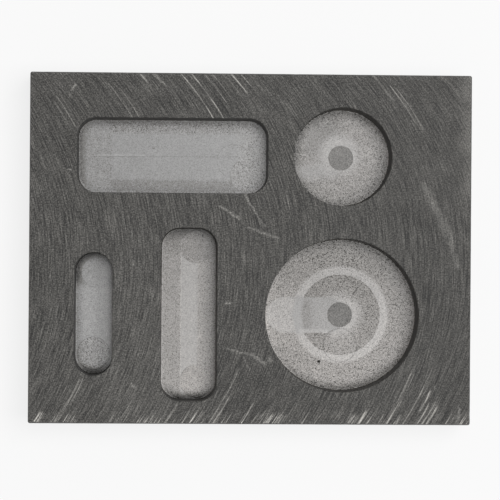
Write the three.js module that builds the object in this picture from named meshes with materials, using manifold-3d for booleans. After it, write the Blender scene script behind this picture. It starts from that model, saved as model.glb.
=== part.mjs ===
// Ingot mould: one graphite block, machined from the solid, with five open cavities in its top.
// Two cavities are round and three are bars with rounded ends. One end mill with round corners and
// a slight taper cuts them all.
// Millimetres. X runs along the block's long side, Y along its short side and Z points up.
// The origin is the middle of the underside.

import * as THREE from "three";
import { mergeVertices } from "three/addons/utils/BufferGeometryUtils.js";
import Module from "manifold-3d";

const wasm = await Module();
wasm.setup();

// The end mill. Its slight taper is the draft that lets a cooled ingot drop out.
const cutterTipDiameter = 10.5;
const cutterNoseRadius = 0.5;
const draftDegrees = 0.5;

// Cavities, measured across their rims
const cavityDepth = 9.5;
const wideBarLength = 53.5;
const wideBarWidth = 21;
const longBarLength = 48.6;
const longBarWidth = 15.7;
const shortBarLength = 34.5;
const smallRoundDiameter = 27.6;
const largeRoundDiameter = 43.1;
const rimBreak = 0.2;

// Graphite left between the cavities, and from them to the block's edges
const wideBarEndWall = 13.2;
const wideBarSideWall = 12.6;
const wideBarToSmallRound = 7.3;
const wideBarToLongBar = 9.75;
const shortBarSideWall = 12.7;
const longBarEndWall = 6.35;
const largeRoundSideWall = 14.65;
const floorThickness = 6.4;
const edgeBreak = 0.35;

// Fineness of the curves, as counts
const roundSegments = 96;
const cornerSegments = 12;
const noseSegments = 3;

// How far a cutting solid stands out of the face that it cuts
const overrun = 1;

const draftSlope = Math.tan(THREE.MathUtils.degToRad(draftDegrees));
const draftInset = cavityDepth * draftSlope;
const smallRoundRadius = smallRoundDiameter / 2;
const largeRoundRadius = largeRoundDiameter / 2;

// One pass of the cutter makes the short bar, so its rim is the cutter and the draft on both sides.
const shortBarWidth = cutterTipDiameter + 2 * draftInset;
const cutterRimRadius = shortBarWidth / 2;

// The wide bar and the small round share the upper row, and both rounds share one column.
const columnFromLeft = wideBarEndWall + wideBarLength + wideBarToSmallRound + smallRoundRadius;
const blockLength = columnFromLeft + largeRoundRadius + largeRoundSideWall;

// Equal webs stand on both sides of the long bar, in what the large round leaves of the lower row.
const lowerRowBars = shortBarSideWall + shortBarWidth + longBarWidth;
const longBarWeb = (columnFromLeft - largeRoundRadius - lowerRowBars) / 2;

const lowerRowFromFront = longBarLength / 2 + longBarEndWall;
const rowPitch = longBarLength / 2 + wideBarToLongBar + wideBarWidth / 2;
const upperRowFromBack = wideBarWidth / 2 + wideBarSideWall;
const blockWidth = lowerRowFromFront + rowPitch + upperRowFromBack;
const blockThickness = cavityDepth + floorThickness;

const blockLeft = -blockLength / 2;
const columnX = blockLeft + columnFromLeft;
const lowerRowY = -blockWidth / 2 + lowerRowFromFront;
const upperRowY = lowerRowY + rowPitch;
const wideBarX = blockLeft + wideBarEndWall + wideBarLength / 2;
const shortBarX = blockLeft + shortBarSideWall + shortBarWidth / 2;
const longBarX = shortBarX + shortBarWidth / 2 + longBarWeb + longBarWidth / 2;
const cavityFloorZ = blockThickness - cavityDepth;

// A cavity's wall from the floor's edge up past the rim, as pairs of inset from the rim and height:
// the nose's round, the drafted wall, the broken rim and a straight overrun above the top face.
function cavityProfile() {
  const draft = Math.atan(draftSlope);
  const noseInset = draftInset + (cutterNoseRadius * (1 - Math.sin(draft))) / Math.cos(draft);
  const noseZ = cavityFloorZ + cutterNoseRadius;
  const noseSweep = Math.PI / 2 - draft;
  const points = [];
  for (let i = 0; i <= noseSegments; i++) {
    const turn = Math.PI / 2 + (noseSweep * i) / noseSegments;
    points.push(
      new THREE.Vector2(
        noseInset + cutterNoseRadius * Math.cos(turn),
        noseZ - cutterNoseRadius * Math.sin(turn),
      ),
    );
  }
  points.push(new THREE.Vector2(rimBreak * draftSlope, blockThickness - rimBreak));
  points.push(new THREE.Vector2(-rimBreak, blockThickness));
  points.push(new THREE.Vector2(-rimBreak, blockThickness + overrun));
  return points;
}

// A closed geometry as a solid that can be cut.
function solidOf(geometry) {
  geometry.deleteAttribute("normal");
  geometry.deleteAttribute("uv");
  const merged = mergeVertices(geometry);
  return new wasm.Manifold(
    new wasm.Mesh({
      numProp: 3,
      vertProperties: merged.getAttribute("position").array,
      triVerts: new Uint32Array(merged.index.array),
    }),
  );
}

// The space of a round cavity: the wall's profile turned about the cavity's axis.
function roundCavity(diameter, x, y) {
  const profile = cavityProfile().map(
    (point) => new THREE.Vector2(diameter / 2 - point.x, point.y),
  );
  profile.unshift(new THREE.Vector2(0, profile[0].y));
  profile.push(new THREE.Vector2(0, profile.at(-1).y));
  const geometry = new THREE.LatheGeometry(profile, roundSegments);
  geometry.rotateX(Math.PI / 2);
  geometry.translate(x, y, 0);
  return solidOf(geometry);
}

// The plan of a bar at one level: a rectangle with round corners, drawn in from its rim by an inset.
function barOutline(length, width, inset) {
  const cornerRadius = Math.min(cutterRimRadius, length / 2, width / 2) - inset;
  const cornerX = length / 2 - inset - cornerRadius;
  const cornerY = width / 2 - inset - cornerRadius;
  const cornerSides = [
    [1, 1],
    [-1, 1],
    [-1, -1],
    [1, -1],
  ];
  return cornerSides.flatMap(([sideX, sideY], quarter) =>
    Array.from({ length: cornerSegments + 1 }, (_, i) => {
      const turn = (Math.PI / 2) * (quarter + i / cornerSegments);
      return new THREE.Vector2(
        sideX * cornerX + cornerRadius * Math.cos(turn),
        sideY * cornerY + cornerRadius * Math.sin(turn),
      );
    }),
  );
}

// The space of a bar cavity: outlines stacked up the wall's profile and closed at both ends.
function barCavity(length, width, x, y) {
  const profile = cavityProfile();
  const outlines = profile.map((point) => barOutline(length, width, point.x));
  const count = outlines[0].length;
  const vertices = outlines.flatMap((outline, level) =>
    outline.flatMap((point) => [x + point.x, y + point.y, profile[level].y]),
  );
  const topLevel = count * (outlines.length - 1);
  const floorCentre = count * outlines.length;
  const mouthCentre = floorCentre + 1;
  vertices.push(x, y, profile[0].y, x, y, profile.at(-1).y);
  const faces = [];
  for (let i = 0; i < count; i++) {
    const next = (i + 1) % count;
    faces.push(floorCentre, next, i);
    faces.push(mouthCentre, topLevel + i, topLevel + next);
    for (let level = 0; level < topLevel; level += count) {
      const above = level + count;
      faces.push(level + i, level + next, above + next);
      faces.push(level + i, above + next, above + i);
    }
  }
  const geometry = new THREE.BufferGeometry();
  geometry.setAttribute("position", new THREE.Float32BufferAttribute(vertices, 3));
  geometry.setIndex(faces);
  return solidOf(geometry);
}

// The sawn and ground block, with every outer edge broken by a small chamfer.
function plainBlock() {
  const halfLength = blockLength / 2 - edgeBreak;
  const halfWidth = blockWidth / 2 - edgeBreak;
  const plan = new THREE.Shape();
  plan.moveTo(-halfLength, -halfWidth);
  plan.lineTo(halfLength, -halfWidth);
  plan.lineTo(halfLength, halfWidth);
  plan.lineTo(-halfLength, halfWidth);
  plan.closePath();
  const geometry = new THREE.ExtrudeGeometry(plan, {
    depth: blockThickness - 2 * edgeBreak,
    bevelEnabled: true,
    bevelSegments: 1,
    bevelSize: edgeBreak,
    bevelThickness: edgeBreak,
  });
  geometry.translate(0, 0, edgeBreak);
  return solidOf(geometry);
}

// The cut solid as a geometry with a flat normal on each face.
function geometryOf(solid) {
  const mesh = solid.getMesh();
  const positions = new Float32Array(mesh.numVert * 3);
  for (let i = 0; i < mesh.numVert; i++) {
    positions.set(mesh.vertProperties.subarray(i * mesh.numProp, i * mesh.numProp + 3), i * 3);
  }
  const geometry = new THREE.BufferGeometry();
  geometry.setAttribute("position", new THREE.BufferAttribute(positions, 3));
  geometry.setIndex(new THREE.BufferAttribute(mesh.triVerts, 1));
  const faceted = geometry.toNonIndexed();
  faceted.computeVertexNormals();
  return faceted;
}

function mouldBlock() {
  const cavities = [
    barCavity(wideBarLength, wideBarWidth, wideBarX, upperRowY),
    roundCavity(smallRoundDiameter, columnX, upperRowY),
    barCavity(shortBarWidth, shortBarLength, shortBarX, lowerRowY),
    barCavity(longBarWidth, longBarLength, longBarX, lowerRowY),
    roundCavity(largeRoundDiameter, columnX, lowerRowY),
  ];
  const block = cavities.reduce((left, cavity) => left.subtract(cavity), plainBlock());
  const graphite = new THREE.MeshStandardMaterial({
    color: 0x5a5957,
    roughness: 0.6,
    metalness: 0.2,
  });
  const mesh = new THREE.Mesh(geometryOf(block), graphite);
  mesh.name = "mould_block";
  return mesh;
}

const ingotMould = new THREE.Group();
ingotMould.add(mouldBlock());

export default ingotMould;
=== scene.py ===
"""The graphite ingot mould, dressed for the render: one block with five open cavities.

Sizes are millimetres in the frame of the CAD model until a mesh, a lamp or the camera is made.
"""

import math

import bmesh
import bpy
import numpy as np
from mathutils import Matrix, Vector


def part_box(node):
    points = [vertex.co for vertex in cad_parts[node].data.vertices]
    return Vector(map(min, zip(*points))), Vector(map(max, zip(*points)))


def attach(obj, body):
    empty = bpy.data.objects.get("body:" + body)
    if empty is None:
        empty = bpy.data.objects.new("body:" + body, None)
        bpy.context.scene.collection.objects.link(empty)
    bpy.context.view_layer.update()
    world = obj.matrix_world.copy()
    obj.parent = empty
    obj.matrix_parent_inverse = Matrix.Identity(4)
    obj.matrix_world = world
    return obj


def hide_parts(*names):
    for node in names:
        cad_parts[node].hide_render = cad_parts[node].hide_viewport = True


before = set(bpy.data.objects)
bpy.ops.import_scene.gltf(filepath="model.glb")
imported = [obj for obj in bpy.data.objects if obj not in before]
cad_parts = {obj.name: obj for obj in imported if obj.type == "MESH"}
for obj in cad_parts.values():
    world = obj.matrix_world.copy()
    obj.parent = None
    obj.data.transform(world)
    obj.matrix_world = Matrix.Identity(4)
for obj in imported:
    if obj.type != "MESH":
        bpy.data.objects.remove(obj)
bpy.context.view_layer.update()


# The block and its cavities
# One block of fine-grained graphite, sawn and ground to size and fly-cut across its top. A single
# end mill cut the five cavities out of it, so nothing on the mould is joined or fitted.

MM = 0.001
block_low, block_high = (np.array(corner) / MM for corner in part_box("mould_block"))
block_size = (block_high - block_low)[:2]
top_z = block_high[2]
floor_z = 6.4
draft = math.radians(0.5)
draft_inset = (top_z - floor_z) * math.tan(draft)
cutter_tip_diameter = 10.5
cutter_rim_radius = cutter_tip_diameter / 2 + draft_inset
nose_radius = 0.2
floor_inset = draft_inset + nose_radius * (1 - math.sin(draft)) / math.cos(draft)

# The two rows of cavities and the column of the rounds
back_row = 26.05
front_row = -18.5
round_column = 25.8

# Lines that divide the top face into one cell for each cavity
row_split = 9.2
upper_split = 8.4
short_to_long_split = -31.8
long_to_round_split = -2.5

# Each cavity: its centre, its size across the rim, its corner radius, and its cell of the top
# face, as left, front, right and back.
cavities = {
    "wide_bar": (
        (-22.05, back_row), (53.5, 21.0), cutter_rim_radius,
        (block_low[0], row_split, upper_split, block_high[1]),
    ),
    "small_round": (
        (round_column, back_row), (27.6, 27.6), 27.6 / 2,
        (upper_split, row_split, block_high[0], block_high[1]),
    ),
    "short_bar": (
        (-43.967, front_row), (2 * cutter_rim_radius, 34.5), cutter_rim_radius,
        (block_low[0], block_low[1], short_to_long_split, row_split),
    ),
    "long_bar": (
        (-17.192, front_row), (15.7, 48.6), cutter_rim_radius,
        (short_to_long_split, block_low[1], long_to_round_split, row_split),
    ),
    "large_round": (
        (round_column, front_row), (43.1, 43.1), 43.1 / 2,
        (long_to_round_split, block_low[1], block_high[0], row_split),
    ),
}


def stations(stops, spacing=0.5, corner_steps=(0.1, 0.22, 0.36, 0.52)):
    """Places along one side of the block: evenly spaced between stops, and closer by both corners."""
    parts = [
        np.linspace(a, b, max(2, round((b - a) / spacing) + 1)) for a, b in zip(stops, stops[1:])
    ]
    near = np.array(corner_steps)
    return np.unique(np.round(np.concatenate([*parts, stops[0] + near, stops[-1] - near]), 5))


x_stations = stations(
    [block_low[0], short_to_long_split, long_to_round_split, upper_split, block_high[0]]
)
y_stations = stations([block_low[1], row_split, block_high[1]])


def round_cornered(size, corner, side, share, inset):
    """Points along one side of a rectangle with round corners, drawn in by an inset.

    share runs from 0 at the middle of the side's first corner to 1 at the middle of its next, by
    length: half a corner's arc, the straight, and half an arc again. Sides go front, right, back,
    left.
    """
    straight = size[side % 2] - 2 * corner
    half_arc = corner * math.pi / 4
    run = share * (straight + 2 * half_arc)
    first_turn = np.clip(run / corner, 0, math.pi / 4)
    last_turn = np.clip((run - half_arc - straight) / corner, 0, math.pi / 4)
    facing = math.pi / 2 * (side - 1)
    turn = facing - math.pi / 4 + first_turn + last_turn
    out = np.array([math.cos(facing), math.sin(facing)])
    along = np.array([-math.sin(facing), math.cos(facing)])
    start = out * (size[1 - side % 2] / 2 - corner) - along * straight / 2
    travelled = np.clip(run - half_arc, 0, straight)
    reach = corner - inset
    return (
        start
        + along * travelled[:, None]
        + np.stack([reach * np.cos(turn), reach * np.sin(turn)], -1)
    )


def wander(place, seed, slowest, fastest):
    """A smooth random wander round a closed edge, about -1 to 1: seeded sines of whole counts."""
    draw = np.random.default_rng(seed)
    counts = np.arange(slowest, fastest)
    sizes = draw.normal(size=len(counts)) / math.sqrt(len(counts))
    phases = draw.uniform(0, 2 * math.pi, len(counts))
    waves = np.sin(2 * math.pi * counts * np.asarray(place)[..., None] + phases)
    return (sizes * waves).sum(-1)


def chips(place, seed, count, widest, deepest):
    """Small bites along a closed edge: a sum of smooth humps with seeded places and sizes."""
    draw = np.random.default_rng(seed)
    at = draw.uniform(0, 1, count)
    width = draw.uniform(0.3, 1, count) * widest
    depth = draw.uniform(0.2, 1, count) ** 2 * deepest
    gap = np.abs(np.asarray(place)[..., None] - at)
    gap = np.minimum(gap, 1 - gap) / width
    return (depth * np.clip(1 - gap**2, 0, None) ** 2).sum(-1)


block_corner = 0.6
perimeter = 2 * block_size.sum()
mean_edge_break = 0.27
least_edge_break = 0.12
most_edge_break = block_corner - 0.06


def edge_break(place):
    """How wide the broken edge is at a place round the block: its mean, a rubbed wander and chips."""
    worn = mean_edge_break + 0.05 * wander(place, seed=11, slowest=20, fastest=160)
    worn = worn + chips(place, seed=12, count=70, widest=1.1 / perimeter, deepest=0.35)
    return np.clip(worn, least_edge_break, most_edge_break)


def outline(side, share, inset):
    """Points round the block's plan, drawn in by an inset. share is of the side as if its corners
    were square, so points on the straight keep their place along it."""
    length = block_size[side % 2]
    half_arc = block_corner * math.pi / 4
    whole = length - 2 * block_corner + 2 * half_arc
    share = np.interp(
        share * length,
        [0, block_corner, length - block_corner, length],
        [0, half_arc / whole, 1 - half_arc / whole, 1],
    )
    middle = (block_low[:2] + block_high[:2]) / 2
    return middle + round_cornered(block_size, block_corner, side, share, inset)


def top_plan():
    """The top face's points at every pair of stations; the outermost lie where the break starts."""
    plan = np.stack(np.meshgrid(x_stations, y_stations, indexing="ij"), -1)
    across = (x_stations - block_low[0]) / block_size[0]
    up = (y_stations - block_low[1]) / block_size[1]
    sides = [(np.s_[:, 0], across), (np.s_[-1, :], up), (np.s_[:, -1], 1 - across)]
    for side, (edge, share) in enumerate([*sides, (np.s_[0, :], 1 - up)]):
        plan[edge] = outline(side, share, edge_break((side + share) / 4))
    # Points near the edge move in with it, so that none is left outside the break.
    margin = 1.5
    for axis, (low, high) in enumerate(zip(block_low[:2], block_high[:2])):
        lines = plan[:, 1:-1, 0] if axis == 0 else plan[1:-1, :, 1].T
        near_low = np.clip((low + margin - lines) / margin, 0, 1)
        near_high = np.clip((lines - high + margin) / margin, 0, 1)
        near_low[0], near_high[-1] = 0, 0
        lines += near_low * (lines[0] - low) + near_high * (lines[-1] - high)
    return plan


plan = top_plan()


def border(cell):
    """One cell's border on the top face, front side first: its points, and each one's side and share."""
    left, front, right, back = cell
    slack = 1e-4
    i0, i1 = np.searchsorted(x_stations, [left - slack, right - slack])
    j0, j1 = np.searchsorted(y_stations, [front - slack, back - slack])
    across = (x_stations[i0:i1 + 1] - left) / (right - left)
    up = (y_stations[j0:j1 + 1] - front) / (back - front)
    runs = [
        (plan[i0:i1, j0], across[:-1]),
        (plan[i1, j0:j1], up[:-1]),
        (plan[i0 + 1:i1 + 1, j1][::-1], 1 - across[::-1][:-1]),
        (plan[i0, j0 + 1:j1 + 1][::-1], 1 - up[::-1][:-1]),
    ]
    points = np.concatenate([run[0] for run in runs])
    side = np.concatenate([np.full(len(run[1]), k) for k, run in enumerate(runs)])
    return points, side, np.concatenate([run[1] for run in runs])


# Each finish by its place in the mesh's list of materials
TOP, WALL, SIDE = 0, 1, 2
FLOOR = {name: 3 + n for n, name in enumerate(cavities)}
laid = {"points": [], "faces": [], "finish": [], "map": []}


def lay(points, uv, finish, closed=True, turned=False):
    """Adds a grid of points, rings by places round, as four-sided faces with their flat map. closed
    joins the last place to the first, and turned faces the grid the other way."""
    rings, around = points.shape[:2]
    ring, place = np.meshgrid(
        np.arange(rings - 1), np.arange(around if closed else around - 1), indexing="ij"
    )
    ring, place = ring.ravel(), place.ravel()
    following = (place + 1) % around
    first = sum(len(part) for part in laid["points"])
    corners = [(ring, place), (ring, following), (ring + 1, following), (ring + 1, place)]
    mapped = [(ring, place), (ring, place + 1), (ring + 1, place + 1), (ring + 1, place)]
    if turned:
        corners, mapped = corners[::-1], mapped[::-1]
    laid["points"].append(points.reshape(-1, 3))
    laid["faces"].append(first + np.stack([r * around + p for r, p in corners], -1))
    laid["finish"].append(np.full(len(ring), finish))
    laid["map"].append(np.stack([uv[r, p] for r, p in mapped], 1))


# The flat map that the finishes can be baked on, in pixels: the top face and the floors as seen
# from above, a strip for each cavity's wall, a strip for each side of the block, and the underside
MAP_PIXELS = 1024
MAP_MARGIN = 2
TOP_PIXELS_PER_MM = 7.0
TOP_MAP_BOTTOM = 334
WALL_PIXELS_PER_MM = 2.75
WALL_MAP_LEFT = 872
WALL_MAP_PITCH = 30.5
SIDE_PIXELS_PER_MM = 3.6
SIDE_MAP_LEFT = 416
SIDE_MAP_BOTTOM = 3
SIDE_MAP_PITCH = 60
UNDERSIDE_PIXELS_PER_MM = 3.3


def seen_from_above(points, pixels_per_mm, left, bottom):
    """A flat map of points as seen from above, with the first place round repeated at the end."""
    spread = (points[..., :2] - block_low[:2]) * pixels_per_mm + (left, bottom)
    return np.concatenate([spread, spread[:, :1]], 1) / MAP_PIXELS


def stacked(rings):
    """Rings of plan points, each with its height, as one grid."""
    return np.stack(
        [
            np.concatenate([p, np.broadcast_to(np.reshape(z, (-1, 1)), (len(p), 1))], 1)
            for p, z in rings
        ]
    )


# Where two laps of the cutter meet on a round floor: the middle disc lies a little lower, and on
# the large round a ring stands a little higher.
disc_radius = 3.53
disc_height = -0.03
ring_inner_radius = 11.35
ring_outer_radius = 13.8
ring_height = 0.02


def lap_height(name, radius):
    """How far a round floor stands off its level at a radius: the disc's height or the ring's."""
    height = np.where(radius < disc_radius, disc_height, 0.0)
    if name == "large_round":
        on_ring = (radius > ring_inner_radius) & (radius < ring_outer_radius)
        height = height + np.where(on_ring, ring_height, 0.0)
    return height


# The steps round the rim and the nose, the width of the flat ring by the rim, the depth where the
# wall's own rings begin, and half the width of the step between two laps
rim_steps = 5
nose_steps = 5
rim_support = 0.2
deepest_rim = 0.75
half_lap_step = 0.01


def cut_cavity(number, name):
    """One cavity with the top face round it, from the cell's border in to the middle of its floor.

    Each ring is the rim drawn in by an inset at a height: the broken rim, a quarter round; the
    nearly upright wall; the cutter's nose, a hollow quarter round; then the flat floor, whose
    rings close on the line that runs down the middle of a bar, or on the centre of a round.
    """
    centre, size, corner, cell = cavities[name]
    edge, side, share = border(cell)

    def rim(inset):
        inset = np.broadcast_to(inset, share.shape)
        parts = [
            round_cornered(size, corner, k, share[side == k], inset[side == k]) for k in range(4)
        ]
        return np.array(centre) + np.concatenate(parts)

    place = (side + share) / 4
    rim_length = 2 * sum(size) - (8 - 2 * math.pi) * corner
    rounding = 0.17 + 0.03 * wander(place, seed=30 + number, slowest=9, fastest=90)
    chipped = chips(place, seed=40 + number, count=14, widest=0.9 / rim_length, deepest=0.11)
    rounding = np.clip(rounding + chipped, 0.1, 0.36)
    centre_inset = -rounding * (1 - math.sin(draft)) / math.cos(draft)
    # Two more rings on the flat, by the cell's edge and by the rim, keep the shading flat there.
    support = rim(centre_inset - rim_support)
    rings = [(edge, top_z), (edge + (support - edge) * 0.02, top_z), (support, top_z)]
    for turn in np.linspace(0, math.pi / 2 - draft, rim_steps):
        rings.append((rim(centre_inset + rounding * math.sin(turn)),
                      top_z - rounding * (1 - math.cos(turn))))
    rim_rings = len(rings)
    wall_top = top_z - deepest_rim
    wall_foot = floor_z + nose_radius * (1 - math.sin(draft))
    for z in (wall_top, (wall_top + wall_foot) / 2, wall_foot + 0.25, wall_foot):
        rings.append((rim((top_z - z) * math.tan(draft)), z))
    wall_rings = len(rings)
    for turn in np.linspace(draft, math.pi / 2, nose_steps + 1)[1:]:
        rings.append((rim(floor_inset - nose_radius * math.cos(turn)),
                      floor_z + nose_radius * (1 - math.sin(turn))))
    foot = rings[-1][0]
    along_x, along_y = (max(size[0] - size[1], 0) / 2, max(size[1] - size[0], 0) / 2)
    middle = np.array(centre) + np.stack(
        [
            np.clip(foot[:, 0] - centre[0], -along_x, along_x),
            np.clip(foot[:, 1] - centre[1], -along_y, along_y),
        ],
        -1,
    )
    reach = size[0] / 2 - floor_inset
    if "round" in name:
        ring_out, ring_in, disc = (
            (radius + half_lap_step, radius - half_lap_step)
            for radius in (ring_outer_radius, ring_inner_radius, disc_radius)
        )
        radii = [reach - 0.3, *ring_out, *ring_in, 8.0, *disc, 1.6, 0.0]
        shares = [1 - radius / reach for radius in radii if radius < reach]
    else:
        shares = [0.05, 0.35, 0.7, 1.0]
    for t in shares:
        height = lap_height(name, (1 - t) * reach) if "round" in name else 0.0
        rings.append((foot + (middle - foot) * t, floor_z + height))

    grid = stacked(rings)
    above = seen_from_above(grid, TOP_PIXELS_PER_MM, MAP_MARGIN, TOP_MAP_BOTTOM)
    lay(grid[:rim_rings], above[:rim_rings], TOP)
    strip_left = WALL_MAP_LEFT + WALL_MAP_PITCH * number
    drop = np.broadcast_to(
        strip_left + WALL_PIXELS_PER_MM * (top_z - grid[rim_rings - 1:wall_rings, :1, 2]),
        (wall_rings - rim_rings + 1, len(place) + 1),
    )
    strip_length = MAP_PIXELS - 2 * MAP_MARGIN
    down = np.broadcast_to(MAP_MARGIN + strip_length * np.append(place, 1.0), drop.shape)
    lay(grid[rim_rings - 1:wall_rings], np.stack([drop, down], -1) / MAP_PIXELS, WALL)
    lay(grid[wall_rings - 1:], above[wall_rings - 1:], FLOOR[name])


for number, name in enumerate(cavities):
    cut_cavity(number, name)


def side_strip(side):
    """One side of the block: a quarter round by the top, the sawn face, and a quarter round under
    it. Returns its places along the underside's edge, without the last."""
    values = x_stations if side % 2 == 0 else y_stations
    share = (values - values[0]) / (values[-1] - values[0])
    share = share if side in (0, 1) else (1 - share)[::-1]
    place = (side + share) / 4
    worn = edge_break(place)
    mean_under_break = 0.25
    under = mean_under_break + 0.04 * wander(place, seed=21, slowest=20, fastest=120)
    turns = np.linspace(0, math.pi / 2, 5)
    rings = [
        (outline(side, share, worn * (1 - math.sin(t))), top_z - worn * (1 - math.cos(t)))
        for t in turns
    ]
    for z in (top_z - 1.0, top_z / 2, 1.0):
        rings.append((outline(side, share, 0.0), z))
    rings += [
        (outline(side, share, under * (1 - math.cos(t))), under * (1 - math.sin(t)))
        for t in turns
    ]
    grid = stacked(rings)
    length = (values[-1] - values[0]) * SIDE_PIXELS_PER_MM
    rise = np.clip(grid[..., 2], 0, None) * SIDE_PIXELS_PER_MM
    strip = [
        np.broadcast_to(SIDE_MAP_LEFT + share * length, rise.shape),
        SIDE_MAP_BOTTOM + SIDE_MAP_PITCH * side + rise,
    ]
    lay(grid, np.stack(strip, -1) / MAP_PIXELS, SIDE, closed=False, turned=True)
    return rings[-1][0][:-1]


def underside():
    """The ground underside: the last ring of the four sides, closed on a line down its middle."""
    foot = np.concatenate([side_strip(side) for side in range(4)])
    reach = (block_size[0] - block_size[1]) / 2
    middle = np.stack([np.clip(foot[:, 0], -reach, reach), 0 * foot[:, 1]], -1)
    rings = [(foot + (middle - foot) * t, 0.0) for t in (0.0, 0.01, 0.34, 0.67, 1.0)]
    grid = stacked(rings)
    above = seen_from_above(grid, UNDERSIDE_PIXELS_PER_MM, MAP_MARGIN, MAP_MARGIN)
    lay(grid, above, SIDE, turned=True)


underside()


def block_mesh():
    """The laid grids as one closed mesh in metres, with the points merged where grids meet, and
    shaded sharp where two faces meet at more than 40 degrees."""
    mesh = bpy.data.meshes.new("graphite_mould")
    points = np.concatenate(laid["points"]) * MM
    faces = np.concatenate(laid["faces"])
    mesh.from_pydata(points.tolist(), [], faces.tolist())
    mesh.polygons.foreach_set(
        "material_index", np.concatenate(laid["finish"]).astype(np.int32)
    )
    layer = mesh.uv_layers.new(name="OFBake")
    layer.data.foreach_set("uv", np.concatenate(laid["map"]).astype(np.float32).ravel())
    merge_distance = 2e-6
    merged = bmesh.new()
    merged.from_mesh(mesh)
    bmesh.ops.remove_doubles(merged, verts=merged.verts, dist=merge_distance)
    merged.to_mesh(mesh)
    merged.free()
    mesh.shade_smooth()
    mesh.set_sharp_from_angle(angle=math.radians(40))
    return mesh


mould = bpy.data.objects.new("graphite_mould", block_mesh())
bpy.context.scene.collection.objects.link(mould)


# The fly-cut top face
# A single-point cutter on a wide arm swept the top flat. It left fine arcs, brighter where the tool
# rubbed, and long hairs near the front and back edges, painted bright as a glint.


class Field:
    """A number that varies over the surface. Sums, products and the rest add maths nodes."""

    def __init__(self, tree, socket):
        self.tree, self.socket = tree, socket

    def maths(self, operation, *others):
        node = self.tree.nodes.new("ShaderNodeMath")
        node.operation = operation
        for place, value in zip(node.inputs, (self, *others)):
            feed(self.tree, place, value)
        return Field(self.tree, node.outputs[0])

    def __add__(self, other):
        return self.maths("ADD", other)

    def __sub__(self, other):
        return self.maths("SUBTRACT", other)

    def __mul__(self, other):
        return self.maths("MULTIPLY", other)

    def __rsub__(self, other):
        return self.maths("MULTIPLY_ADD", -1.0, other)

    __radd__, __rmul__ = __add__, __mul__

    def power(self, exponent):
        return self.maths("POWER", exponent)

    def size(self):
        return self.maths("ABSOLUTE")

    def higher(self, other):
        return self.maths("MAXIMUM", other)

    def lower(self, other):
        return self.maths("MINIMUM", other)

    def rise(self, start, end):
        """0 up to start and 1 from end on, with a smooth step between. end may be the lower one."""
        node = self.tree.nodes.new("ShaderNodeMapRange")
        node.interpolation_type, node.clamp = "SMOOTHSTEP", False
        feed(self.tree, node.inputs["Value"], self)
        node.inputs["From Min"].default_value = start
        node.inputs["From Max"].default_value = end
        return Field(self.tree, node.outputs["Result"])


def feed(tree, place, value):
    """Gives a socket a field's value, or a plain number."""
    if isinstance(value, Field):
        tree.links.new(value.socket, place)
    else:
        place.default_value = value


def new_finish(name, roughness, specular):
    """A new material with its shader, and the place on the mould in millimetres as three fields."""
    finish = bpy.data.materials.new(name)
    finish.use_nodes = True
    tree = finish.node_tree
    shader = tree.nodes["Principled BSDF"]
    shader.inputs["Roughness"].default_value = roughness
    shader.inputs["Specular IOR Level"].default_value = specular
    place = tree.nodes.new("ShaderNodeTexCoord")
    in_mm = tree.nodes.new("ShaderNodeVectorMath")
    in_mm.operation = "SCALE"
    in_mm.inputs["Scale"].default_value = 1 / MM
    split = tree.nodes.new("ShaderNodeSeparateXYZ")
    tree.links.new(place.outputs["Object"], in_mm.inputs[0])
    tree.links.new(in_mm.outputs[0], split.inputs[0])
    return finish, shader, [Field(tree, output) for output in split.outputs]


def mottle(x, y, z, size, layers):
    """Noise with grains about `size` across, mostly from -1 to 1. A plain number as z only picks
    another piece of the noise."""
    tree = x.tree
    join = tree.nodes.new("ShaderNodeCombineXYZ")
    for place, value in zip(join.inputs, (x, y, z)):
        feed(tree, place, value)
    noise = tree.nodes.new("ShaderNodeTexNoise")
    noise.inputs["Scale"].default_value = 1 / size
    noise.inputs["Detail"].default_value = layers
    tree.links.new(join.outputs[0], noise.inputs["Vector"])
    # The noise runs from 0 to 1 and keeps near the middle, so it is stretched out from there.
    stretch = 3.6
    return Field(tree, noise.outputs[0]) * stretch - stretch / 2


def paint(shader, tone, red, blue, shine):
    """Lays a tone on as the base colour. A tone is a grey from 0 to 255 as the eye reads it, red and
    blue are the shares of those two that are added and taken off, and shine is the part of the tone
    that the surface's own gloss gives, so that part is taken off too."""
    tree = tone.tree
    eye_power = 2.2
    darkest_tone = 0.02
    darkest_light = 0.008
    light = (tone * (1 / 255)).higher(darkest_tone).power(eye_power)
    light = (light - shine).higher(darkest_light)
    channels = (light * (red + 1), light, light * (1 - blue))
    colour = tree.nodes.new("ShaderNodeCombineColor")
    for place, channel in zip(colour.inputs, channels):
        feed(tree, place, channel)
    tree.links.new(colour.outputs[0], shader.inputs["Base Color"])


def relief(shader, height):
    """Raises the surface by a height in millimetres, through the shader's normal."""
    tree = height.tree
    bump = tree.nodes.new("ShaderNodeBump")
    bump.inputs["Distance"].default_value = MM
    feed(tree, bump.inputs["Height"], height)
    tree.links.new(bump.outputs[0], shader.inputs["Normal"])


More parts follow.
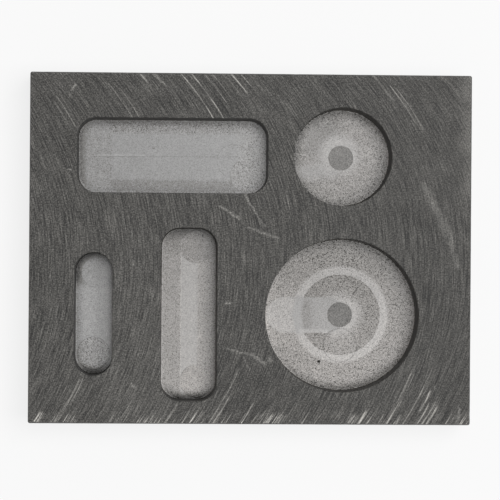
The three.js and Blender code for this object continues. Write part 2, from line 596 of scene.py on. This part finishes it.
def run_mask(tree, place, start, end, outer, inner):
    """1 along a straight run from start to end, as far out as inner, and 0 beyond outer. The share
    of the run where a place is nearest to it is kept from 0 to 1, and the distance goes from there.
    A run without length is a round spot."""
    run = np.subtract(end, start)
    square = max(float(run @ run), 1e-6)
    steps = []
    for operation, value in (("SUBTRACT", (*start, 0)), ("DOT_PRODUCT", (*(run / square), 0))):
        node = tree.nodes.new("ShaderNodeVectorMath")
        node.operation = operation
        tree.links.new(place if not steps else steps[-1].outputs[0], node.inputs[0])
        node.inputs[1].default_value = value
        steps.append(node)
    share = Field(tree, steps[1].outputs["Value"]).higher(0.0).lower(1.0)
    spread = tree.nodes.new("ShaderNodeCombineXYZ")
    for axis in (0, 1):
        feed(tree, spread.inputs[axis], share)
    back = tree.nodes.new("ShaderNodeVectorMath")
    back.operation = "MULTIPLY_ADD"
    tree.links.new(spread.outputs[0], back.inputs[0])
    back.inputs[1].default_value = (-run[0], -run[1], 0)
    tree.links.new(steps[0].outputs[0], back.inputs[2])
    length = tree.nodes.new("ShaderNodeVectorMath")
    length.operation = "LENGTH"
    tree.links.new(back.outputs[0], length.inputs[0])
    return Field(tree, length.outputs["Value"]).rise(outer, inner)


# Hairs that follow the arcs, real rub marks whose brightness is a painted glint: the arc each is on,
# half its width, its two ends along Y and its strength. Those by the front and back edges run out
# over the edge.
hairs = [
    (0.6, 0.2, 36, 50, 1.0), (3.5, 0.22, 36, 50, 1.0), (7.1, 0.22, 39.5, 50, 0.5),
    (9.3, 0.2, 41, 50, 0.3), (14.7, 0.3, 43.3, 50, 0.85), (12.6, 0.3, 42.5, 47.5, 0.35),
    (17.4, 0.25, 46, 50, 0.5), (-10.9, 0.3, 46.6, 50, 0.9), (-6.7, 0.6, 45.6, 50, 0.5),
    (-22.1, 0.22, 36.5, 46, 0.4), (-20.0, 0.22, 36, 45, 0.35), (-39.5, 0.22, 34, 42.5, 0.5),
    (-41.2, 0.3, 33, 41, 0.3), (56.9, 0.18, 35.5, 46, 0.6), (58.1, 0.2, 33.5, 45, 0.5),
    (54.6, 0.4, 42, 50, 0.35), (-46.4, 1.2, -50, -46.0, 0.9), (-40.8, 0.5, -46.5, -37, 0.5),
    (-39.9, 0.25, -44, -36, 0.45), (-26.0, 0.6, -50, -46.5, 0.35), (-10.2, 0.4, -50, -43.3, 0.5),
    (-5.5, 0.22, -50, -45, 0.75), (-3.4, 0.22, -50, -44.3, 0.65), (2.0, 0.22, -50, -41, 0.6),
    (3.3, 0.25, -50, -41.5, 0.65), (2.4, 0.4, -42, -33.5, 0.4), (5.9, 0.8, -50, -43.5, 0.45),
    (11.1, 0.28, -50, -43, 0.7), (18.6, 4.2, -50, -46.3, 0.75), (28.0, 0.25, -50, -44.3, 0.75),
    (31.6, 0.5, -50, -46.3, 0.8), (41.6, 1.2, -50, -46.4, 0.7), (44.0, 0.5, -50, -45.2, 0.9),
    (51.9, 0.55, -50, -42.3, 0.9), (51.6, 0.7, -43, -34.5, 0.65), (56.5, 0.22, -50, -35, 0.55),
    (57.2, 0.5, -41, -37, 0.5), (59.0, 0.45, -45.5, -39.5, 0.8), (61.2, 1.5, -50, -43, 0.7),
    (63.2, 0.35, -50, -44, 0.8), (54.4, 0.8, -50, -46.5, 0.5),
]
# Bruises and scratches across the arcs: start, end, half width and strength
bruises = [
    (-1.6, 15.0, 1.6, 9.6, 0.45, 0.75), (1.6, 9.6, 3.7, 6.4, 0.7, 0.5),
    (-8.7, 12.0, -3.3, 8.6, 0.6, 0.7), (-0.8, 6.1, 7.7, 3.1, 0.6, 0.6),
    (-6.4, -28.1, 0.4, -29.6, 0.6, 0.5), (0.4, -29.6, 4.3, -32.2, 0.8, 0.6),
    (5.2, -30.5, 5.8, -31.6, 1.0, 0.6), (-1.9, -30.3, 0.1, -34.2, 0.5, 0.3),
    (-49.3, 45.5, -50.4, 44.0, 0.6, 0.7), (-50.6, 43.2, -51.0, 42.0, 0.4, 0.4),
    (-51.0, 21.7, -50.5, 21.7, 0.5, 0.9), (-32.7, -3.9, -32.9, -4.6, 0.45, 0.55),
    (-6.8, -15.3, -5.6, -15.4, 0.55, 0.7), (-56.2, -8.2, -56.2, -8.5, 0.4, 0.5),
    (-33.0, -38.1, -32.0, -39.0, 0.9, 0.45), (59.2, -44.4, 58.4, -48.6, 0.8, 0.6),
    (52.0, -38.3, 52.4, -38.9, 0.5, 0.6), (48.5, 18.6, 51.5, 12.5, 1.3, 0.4),
    (49.8, 16.0, 56.3, 2.6, 2.0, 0.36), (54.5, 6.5, 58.4, -4.5, 1.3, 0.36),
]


def arc_place(x, y, sweep, level):
    """Which fly-cut arc a place is on: x carried along an arc of that sweep to the arc's widest."""
    height = y - level
    return x + (sweep - (sweep * sweep - height * height).power(0.5))


def fly_cut_top():
    """The top's finish. Its patterns run along the fly-cut arcs, and each is multiplied by how many
    of the 255 tones it adds or takes off."""
    finish, shader, (x, y, z) = new_finish("fly_cut_graphite", roughness=0.55, specular=0.22)
    tree = finish.node_tree
    true_arc = arc_place(x, y, sweep=80.0, level=-4.5)
    drift = mottle(x, y, 3.0, size=30, layers=1)
    arc = true_arc + drift * 0.2
    other_arc = arc_place(x, y, sweep=93.0, level=-7.0) + drift * 0.5
    fine = mottle(arc, y * 0.045, 5.0, size=0.24, layers=0)
    light_hairs = mottle(other_arc, y * 0.03, 9.0, size=0.29, layers=0).rise(0.25, 1.05)
    dark_hairs = mottle(arc, y * 0.03, 11.0, size=0.32, layers=0).rise(0.2, 1.05)
    broad = mottle(arc, y * 0.09, 14.0, size=3.0, layers=2)
    grain = mottle(x, y, z, size=0.38, layers=1)
    cloud = mottle(x, y, 21.0, size=9, layers=4)
    patchy = mottle(x, y, 23.0, size=5, layers=2) * 0.3 + 0.83

    # A wide hair is a cluster of thin ones, so the fine lines cut it up; a thin one only fades.
    kinds = {}
    for level, half_width, low, high, strength in hairs:
        across = (true_arc - level).size().rise(half_width * 1.25, half_width * 0.35)
        one = across * y.rise(low - 0.8, low + 0.8) * y.rise(high + 0.8, high - 0.8) * strength
        kind = "cluster" if half_width > 0.45 else "single"
        kinds[kind] = kinds[kind].higher(one) if kind in kinds else one
    faded = mottle(arc, y * 0.12, 27.0, size=0.42, layers=1).rise(-0.6, 0.4) * 0.6 + 0.4
    cut_up = mottle(arc, y * 0.04, 28.0, size=0.3, layers=0).rise(-0.15, 0.55)
    hair_glint = (kinds["single"] * faded).higher(kinds["cluster"] * cut_up)

    front = y.rise(-44.5, -48.5)
    back = y.rise(46, 49.5)
    comb = mottle(arc, y * 0.05, 31.0, size=0.3, layers=0).rise(0.25, 0.9)
    patches = mottle(x * 0.5, y, 37.0, size=7, layers=2).rise(-0.7, 0.5)
    rubbed_web = (x + 32).size().rise(13, 4) * y.rise(3, -12)
    dull_web = (x + 1).size().rise(10, 3) * y.rise(-26, -38)
    right_edge = (x + mottle(x, y, 41.0, size=9, layers=2) * 2.0).rise(57, 62.5) * y.rise(4, 24)

    place = tree.nodes.new("ShaderNodeCombineXYZ")
    feed(tree, place.inputs[0], x + mottle(x, y, 43.0, size=1.2, layers=2) * 0.35)
    feed(tree, place.inputs[1], y + mottle(x, y, 45.0, size=1.2, layers=2) * 0.35)
    bruised = None
    for x0, y0, x1, y1, width, strength in bruises:
        one = run_mask(tree, place.outputs[0], (x0, y0), (x1, y1), width, 0.0) * strength
        bruised = one if bruised is None else bruised.higher(one)
    bruised = bruised * (mottle(x, y, 47.0, size=0.5, layers=2) * 0.7 + 0.75)

    # Towards the right the arcs and the grain are calmer, and beside the large round the hairs are
    # stronger.
    combed = x.rise(34, 44) * y.rise(16, 4) * 1.1 + 1
    calm = x.rise(12, 55)
    streaks = fine * 26 + (light_hairs * 12 - dark_hairs * 12.5) * combed
    tone = streaks * patchy * (calm * -0.2 + 1) + grain * (calm * -5 + 33)
    tone = tone + broad * 4 + cloud * 5 - x * 0.02 - y * 0.02 + rubbed_web * 5 - dull_web * 5 + 84.5
    # The hairs are added up to 105 tones bright as a painted glint on the rub marks.
    tone = tone + comb * (front + back * 0.4) * patches * 100 + hair_glint * 105
    tone = tone + right_edge * 26 + bruised * 78
    paint(shader, tone, red=0.034, blue=0.066, shine=0.024)
    relief(shader, fine * 0.004 + (light_hairs - dark_hairs) * 0.006 + grain * 0.004)
    feed(tree, shader.inputs["Roughness"], bruised * -0.1 + fine * 0.05 + 0.56)
    return finish


# The cavity walls
# The side of the tapered end mill cut them. They are painted far darker than the floors of the same
# graphite, as painted shade inside the cavities, and are smoother than the top, with faint level
# rings from the cutter's teeth.


def milled_wall():
    """The walls' finish: level rings, grain and rubs, painted paler towards the foot as light bounced
    from the floor.
    """
    finish, shader, (x, y, z) = new_finish("milled_wall_graphite", roughness=0.5, specular=0.2)
    rings = mottle(z, (x + y) * 0.02, 2.0, size=0.28, layers=2)
    grain = mottle(x, y, z, size=0.4, layers=2)
    cloud = mottle(x, y, z, size=4, layers=3)
    rub = mottle((x + y) * 0.3, z, 6.0, size=0.8, layers=2).rise(0.4, 1.1)
    # Painted light: the wall is painted up to 32 tones paler towards its foot, as light bounced from the
    # pale floor. Its plain tone of 52 is painted shade.
    foot = z.rise(13.0, floor_z + nose_radius)
    tone = rings * 8 + grain * 7 + cloud * 4 + rub * 16 + foot * 32 + 52
    paint(shader, tone, red=0.02, blue=0.028, shine=0.0)
    relief(shader, rings * 0.008 + grain * 0.004)
    return finish


# The milled floors
# The end of the cutter faced each floor in laps. The laps left lighter and darker strips, rings and
# discs, and open pores of the graphite show as dark specks where a lap wasn't rubbed smooth.


def shape_mask(tree, x, y, kind, numbers):
    """1 inside one of the cutter's marks and 0 outside it. The kinds and their numbers are

    disc: a round patch's centre, radius and soft edge
    ring: centre, inner and outer radius, and soft edge
    strip: left, right, front, back and soft edge
    swath: a round-ended band's start, end, radius and soft edge
    end: what lies past a level and outside a round patch: its centre and radius, level, soft edge
    lap: a thin circle's centre, radius and half width
    score: a scratch's start, end and half width, or a pit's where it starts and ends in one place
    """
    if kind == "strip":
        left, right, front, back, soft = numbers
        return (
            x.rise(left - soft, left + soft) * x.rise(right + soft, right - soft)
            * y.rise(front - soft, front + soft) * y.rise(back + soft, back - soft)
        )
    if kind in ("score", "swath"):
        place = tree.nodes.new("ShaderNodeCombineXYZ")
        feed(tree, place.inputs[0], x)
        feed(tree, place.inputs[1], y)
        start, end, width = numbers[:2], numbers[2:4], numbers[4]
        outer, inner = width, width * 0.25
        if kind == "swath":
            outer, inner = width + numbers[5], width - numbers[5]
        return run_mask(tree, place.outputs[0], start, end, outer, inner)
    across, up = x - numbers[0], y - numbers[1]
    radius = (across * across + up * up).power(0.5)
    if kind == "disc":
        edge, soft = numbers[2:]
        return radius.rise(edge + soft, edge - soft)
    if kind == "ring":
        inner, outer, soft = numbers[2:]
        return radius.rise(inner - soft, inner + soft) * radius.rise(outer + soft, outer - soft)
    if kind == "end":
        edge, level, soft = numbers[2:]
        return radius.rise(edge - soft, edge + soft) * y.rise(level - soft, level + soft)
    circle, width = numbers[2:]
    return (radius - circle).size().rise(width, width * 0.2)


def painted_wall_light_and_shade(name, across, up, width, left, front, right, back):
    """Painted shade and painted light on a floor by its walls: how many tones come off near a wall,
    nothing beyond a width, and at the wall's foot the value of the side that the wall is on,
    blended round the corners. A negative value is painted light."""
    size, corner = cavities[name][1:3]
    out_x = (across.size() - (size[0] / 2 - corner)).higher(0.0)
    out_y = (up.size() - (size[1] / 2 - corner)).higher(0.0)
    square = (out_x * out_x + out_y * out_y).higher(1e-6)
    reach = corner - floor_inset
    # Within the width of the wall's foot the floor is painted darker as shade; a negative value paints
    # it lighter as painted light.
    wall_light_and_shade = square.power(0.5).rise(reach - width, reach + 0.3)
    by_x = across.rise(-0.01, 0.01) * (right - left) + left
    by_y = up.rise(-0.01, 0.01) * (back - front) + front
    facing = out_x * out_x * square.power(-1.0)
    return wall_light_and_shade * (by_y + (by_x - by_y) * facing)


def pitted(x, y, seed, spacing):
    """1 in small round pits of many sizes, one to each cell of a scatter, and 0 between them. The
    largest pit's radius is in cells."""
    tree = x.tree
    join = tree.nodes.new("ShaderNodeCombineXYZ")
    for place, value in zip(join.inputs, (x, y, seed)):
        feed(tree, place, value)
    scatter = tree.nodes.new("ShaderNodeTexVoronoi")
    scatter.inputs["Scale"].default_value = 1 / spacing
    tree.links.new(join.outputs[0], scatter.inputs["Vector"])
    any_size = tree.nodes.new("ShaderNodeSeparateColor")
    tree.links.new(scatter.outputs["Color"], any_size.inputs[0])
    away = Field(tree, scatter.outputs["Distance"])
    largest_pit = 0.42
    return (away - Field(tree, any_size.outputs[0]) * largest_pit).rise(0.14, -0.12)


def milled_floor(name, tone, slant, pores, warmth, wall_light_and_shade, laps, lines):
    """One cavity's floor: its plain tone, how many tones it gains each millimetre up, its share of
    open pores, how warm it is, the width of the painted shade along its foot and how much that
    takes off by the left, front, right and back walls, a negative amount being painted light, the
    laps laid over it in turn with their own tone and pores, and the lines that lighten or darken what
    they cross."""
    finish, shader, (x, y, z) = new_finish(f"{name}_floor_graphite", roughness=0.32, specular=0.5)
    tree = finish.node_tree
    centre = cavities[name][0]
    seed = 10.0 * FLOOR[name]
    # The marks' edges waver by a tenth of a millimetre or so.
    waver = 0.09
    across = x - centre[0] + mottle(x, y, seed, size=1.6, layers=3) * waver
    up = y - centre[1] + mottle(x, y, seed + 4, size=1.6, layers=3) * waver
    for kind, numbers, lap_tone, lap_pores in laps:
        mask = shape_mask(tree, across, up, kind, numbers)
        tone = tone + (lap_tone - tone) * mask
        pores = pores + (lap_pores - pores) * mask
    for kind, numbers, change in lines:
        tone = tone + shape_mask(tree, across, up, kind, numbers) * change
    specks = pitted(x, y, seed, spacing=0.36)
    grain = mottle(x, y, seed + 2, size=0.27, layers=1)
    cloud = mottle(x, y, seed + 3, size=5, layers=3)
    # The cutter's nose, the hollow at the foot of the wall, is painted up to 25 tones darker: painted
    # shade in the corner.
    hollow = z.rise(floor_z + 0.01, floor_z + nose_radius)
    # Painted shade along the foot of each wall, and painted light where a side's value is negative.
    wall_light_and_shade_tones = painted_wall_light_and_shade(name, across, up, *wall_light_and_shade)
    tone = tone + grain * (pores * 30 + 17) + cloud * 4 - specks * pores * 92
    tone = tone + up * slant + pores * 21 - hollow * 25 - wall_light_and_shade_tones
    # Paler graphite is glossier, rough graphite is warmer, and dark graphite is a little brown.
    gloss = tone.rise(30, 125)
    warm = (pores * 0.055 + 0.028) * warmth
    brown = tone.rise(150, 105) * 0.07
    paint(shader, tone, red=warm + brown, blue=warm * 0.85 + brown * 1.8, shine=gloss * 0.11)
    feed(tree, shader.inputs["Specular IOR Level"], gloss * 0.5)
    relief(shader, grain * 0.002 - specks * pores * 0.012)
    return finish


# Half the cutter's flat end, which leaves a circle where it plunges. Every place on a floor is
# from that floor's centre.
lap_radius = 4.72
# Each floor's width and values by its walls are painted shade at the walls' feet, and painted light
# where a value is negative.
floor_finishes = {
    "wide_bar": milled_floor(
        "wide_bar", tone=136, slant=0.0, pores=0.5, warmth=0.35, wall_light_and_shade=(2.8, 55, 0, -10, 22),
        laps=[
            ("strip", (-40, -18.0, -20, 20, 2.4), 144.5, 0.4),
            ("strip", (-17.3, 24.0, -9.9, -6.6, 0.6), 128.5, 0.35),
            ("strip", (-17.3, 19.0, 6.6, 9.6, 0.5), 131.5, 0.75),
            ("strip", (-17.3, 24.5, -6.6, 6.6, 0.6), 151, 0.12),
            ("strip", (19.5, 40.0, -20, 20, 3.5), 145, 0.75),
            ("disc", (21.2, -5.3, lap_radius, 0.25), 139, 0.75),
        ],
        lines=[
            ("score", (-22.0, 0.32, -8.0, 0.34, 0.3), 16),
            ("score", (-22.0, -0.05, 19.0, 0.08, 0.26), -12),
            ("lap", (17.35, -1.07, lap_radius, 0.24), -11),
            ("lap", (21.2, -5.3, lap_radius, 0.24), -13),
            ("score", (-5.6, 2.3, -5.2, 2.3, 0.3), -30),
            ("score", (-21.5, 4.6, -21.4, 4.6, 0.28), -30),
        ],
    ),
    "small_round": milled_floor(
        "small_round", tone=117, slant=0.3, pores=0.85, warmth=1.0, wall_light_and_shade=(2.6, 40, 14, -26, 22),
        laps=[
            ("disc", (0, 0, 10.3, 1.6), 126, 0.8),
            ("disc", (-5.8, 5.2, 5.5, 2.5), 125, 0.4),
            ("swath", (-12.5, -4.6, -3.0, -3.4, 2.4, 1.7), 147, 0.25),
            ("disc", (-0.4, 1.0, 5.6, 1.9), 159, 0.3),
            ("disc", (0, 0, disc_radius, 0.1), 104, 0.35),
        ],
        lines=[
            ("disc", (-3.7, 10.2, 3.8, 2.2), -14),
            ("disc", (11.0, 1.5, 3.2, 3.0), 11),
        ],
    ),
    "short_bar": milled_floor(
        "short_bar", tone=165.5, slant=0.0, pores=0.25, warmth=0.3, wall_light_and_shade=(2.6, 34, 112, -34, 42),
        laps=[
            ("end", (1.2, 11.8, 4.6, 8.6, 2.4), 98, 0.3),
            ("disc", (0.6, 11.6, 4.25, 0.3), 155, 0.25),
            ("disc", (-0.1, -11.4, 4.62, 0.12), 146, 0.8),
        ],
        lines=[
            ("lap", (-0.1, -11.4, 4.62, 0.22), -25),
            ("lap", (0.6, 11.6, 4.25, 0.25), -10),
            ("strip", (2.1, 4.2, -14.0, 14.0, 1.1), 14),
            ("score", (-1.7, 11.9, -1.6, 11.9, 0.26), -50),
            ("score", (-0.8, 3.3, -0.8, 3.3, 0.26), -50),
        ],
    ),
    "long_bar": milled_floor(
        "long_bar", tone=155, slant=-0.45, pores=0.55, warmth=1.1, wall_light_and_shade=(2.8, 0, 112, 0, 24),
        laps=[
            ("strip", (-9.0, -2.15, -30.0, 30.0, 0.12), 147, 0.5),
            ("strip", (-2.15, 2.5, -30.0, 30.0, 0.12), 163, 0.25),
            ("strip", (-1.9, 2.3, -30.0, 30.0, 0.7), 171, 0.2),
            ("strip", (-9.0, 9.0, 19.0, 32.0, 5.0), 117, 0.5),
            ("disc", (2.1, 19.0, 4.6, 0.2), 139, 0.5),
            ("disc", (2.3, -19.1, 4.6, 0.2), 154, 0.6),
        ],
        lines=[
            ("score", (-2.2, 22.0, -2.2, -21.0, 0.3), 18),
            ("lap", (2.3, -19.1, 4.6, 0.24), -18),
            ("lap", (2.1, 19.0, 4.6, 0.22), -6),
            ("score", (3.8, 22.1, 3.9, 22.1, 0.3), -70),
        ],
    ),
    "large_round": milled_floor(
        "large_round", tone=122.5, slant=-0.9, pores=0.95, warmth=1.0, wall_light_and_shade=(3.0, -18, 58, -16, 10),
        laps=[
            ("disc", (-16.5, 0.0, 8.0, 4.5), 137, 0.95),
            ("disc", (0, 0, 11.37, 0.2), 114, 0.95),
            ("disc", (0.15, -8.7, 4.75, 0.3), 126, 0.85),
            ("disc", (0, 0, 5.9, 2.3), 166, 0.4),
            ("swath", (-15.7, -0.1, -3.5, -0.1, 5.05, 0.3), 150, 0.2),
            ("disc", (-15.7, -0.1, 5.05, 0.25), 163, 0.5),
            ("swath", (-9.5, 2.2, -9.5, -2.6, 1.7, 1.2), 132, 0.35),
            ("ring", (0, 0, 11.42, 13.4, 0.15), 166, 0.4),
            ("ring", (0, 0, 12.0, 13.8, 0.7), 163, 0.5),
            ("swath", (-11.5, 4.1, -12.3, 0.0, 1.2, 0.5), 157, 0.1),
            ("swath", (-12.3, 0.0, -11.5, -4.3, 1.2, 0.5), 157, 0.1),
            ("disc", (0, 0, disc_radius, 0.1), 98.5, 0.35),
        ],
        lines=[
            ("lap", (0.15, -8.7, 4.75, 0.28), -24),
            ("score", (-11.0, -4.6, -3.7, -4.7, 0.85), 14),
            ("score", (3.2, 4.8, 5.1, 7.9, 0.24), -36),
            ("score", (-4.9, -14.9, -4.9, -17.6, 0.3), -14),
            ("score", (-5.9, -13.3, -5.8, -13.3, 0.55), -180),
        ],
    ),
}


# The sawn and ground sides
# The four sides and the underside were sawn, then ground flat. They are plain, with fine straight
# grinding lines and a few paler rubs.


def ground_side():
    """The finish of the sides and the underside: grinding lines, grain, rubs and paler worn edges."""
    finish, shader, (x, y, z) = new_finish("ground_graphite", roughness=0.58, specular=0.4)
    # The lines run round the four sides, and straight along the underside.
    across = z + y * z.rise(0.25, 0.1)
    lines = mottle(across, (x + y) * 0.02, 4.0, size=0.4, layers=2)
    grain = mottle(x, y, z, size=0.5, layers=3)
    cloud = mottle(x, y, z, size=11, layers=3)
    worn = z.rise(15.4, 15.75).higher(z.rise(0.3, 0.1) * z.rise(0.01, 0.05))
    rub = mottle((x + y) * 0.4, across, 8.0, size=1.8, layers=3).rise(0.4, 1.2)
    tone = lines * 9 + grain * 8 + cloud * 8 + rub * 18 + worn * (grain * 6 + 9) + 84
    paint(shader, tone, red=0.03, blue=0.042, shine=0.03)
    relief(shader, lines * 0.008 + grain * 0.005)
    return finish


# In the order of TOP, WALL, SIDE and FLOOR
for finish in (fly_cut_top(), milled_wall(), ground_side(), *floor_finishes.values()):
    mould.data.materials.append(finish)

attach(mould, "root")
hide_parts("mould_block")


# The table, the lamp and the camera
# A plain white table under the mould, a broad soft lamp overhead and to the right, and the camera
# where the photograph's was: almost straight above, a little left of the middle.

table = bpy.data.objects.new("white_table", bpy.data.meshes.new("white_table"))
half_table = 2.5
table.data.from_pydata(
    [(x * half_table, y * half_table, 0) for x, y in ((-1, -1), (1, -1), (1, 1), (-1, 1))],
    [],
    [(0, 1, 2, 3)],
)
bpy.context.scene.collection.objects.link(table)


def seen_directly(tree):
    """1 for what the camera, a gloss or a clear surface sees, and 0 for the light that it gives."""
    rays = tree.nodes.new("ShaderNodeLightPath")
    camera, gloss, clear = (
        Field(tree, rays.outputs[f"Is {kind} Ray"]) for kind in ("Camera", "Glossy", "Transmission")
    )
    return camera.higher(gloss).higher(clear)


white = bpy.data.materials.new("white_table")
white.use_nodes = True
tree = white.node_tree
table_white = 0.86
glow_share = 0.8
shader = tree.nodes["Principled BSDF"]
shader.inputs["Base Color"].default_value = (table_white, table_white, table_white, 1)
shader.inputs["Roughness"].default_value = 0.9
shader.inputs["Specular IOR Level"].default_value = 0.0
glow = tree.nodes.new("ShaderNodeEmission")
blend = tree.nodes.new("ShaderNodeMixShader")
feed(tree, blend.inputs[0], seen_directly(tree) * glow_share)
tree.links.new(shader.outputs[0], blend.inputs[1])
tree.links.new(glow.outputs[0], blend.inputs[2])
tree.links.new(blend.outputs[0], tree.nodes["Material Output"].inputs["Surface"])
table.data.materials.append(white)

world = bpy.data.worlds.new("studio")
world.use_nodes = True
bpy.context.scene.world = world
tree = world.node_tree
room_light = 0.22
feed(tree, tree.nodes["Background"].inputs["Strength"],
     seen_directly(tree) * (1 - room_light) + room_light)
tree.nodes["Background"].inputs["Color"].default_value = (1, 1, 1, 1)


def soft_lamp(name, at, aim, size, strength):
    """A square lamp, in metres, that faces a point. strength is the white that it gives on a level
    surface there: its watts are strength times pi squared times the distance squared, over the
    cosine of its slope."""
    lamp = bpy.data.lights.new(name, "AREA")
    lamp.shape = "SQUARE"
    lamp.size = size
    away = Vector(at) - Vector(aim)
    facing = away.normalized().z
    lamp.energy = strength * math.pi * math.pi * away.length_squared / facing
    holder = bpy.data.objects.new(name, lamp)
    holder.location = at
    holder.rotation_euler = away.to_track_quat("Z", "Y").to_euler()
    bpy.context.scene.collection.objects.link(holder)


soft_lamp("overhead_softbox", (0.26, 0.08, 1.0), (0.0, 0.0, 0.01), 0.65, 0.78)

camera_at = Vector((-0.0248, -0.0027, 0.6949))
camera_aim = Vector((-0.0002, -0.0003, 0.0159))
camera_turn = math.radians(0.42)
camera = bpy.data.objects.new("camera", bpy.data.cameras.new("camera"))
camera.data.lens = 174.5
camera.data.sensor_width = 36.0
back = (camera_at - camera_aim).normalized()
right = Vector((math.cos(camera_turn), math.sin(camera_turn), 0.0))
up = back.cross(right).normalized()
right = up.cross(back)
camera.matrix_world = Matrix.Translation(camera_at) @ Matrix((right, up, back)).transposed().to_4x4()
bpy.context.scene.collection.objects.link(camera)
bpy.context.scene.camera = camera
bpy.context.scene.view_settings.view_transform = "Standard"
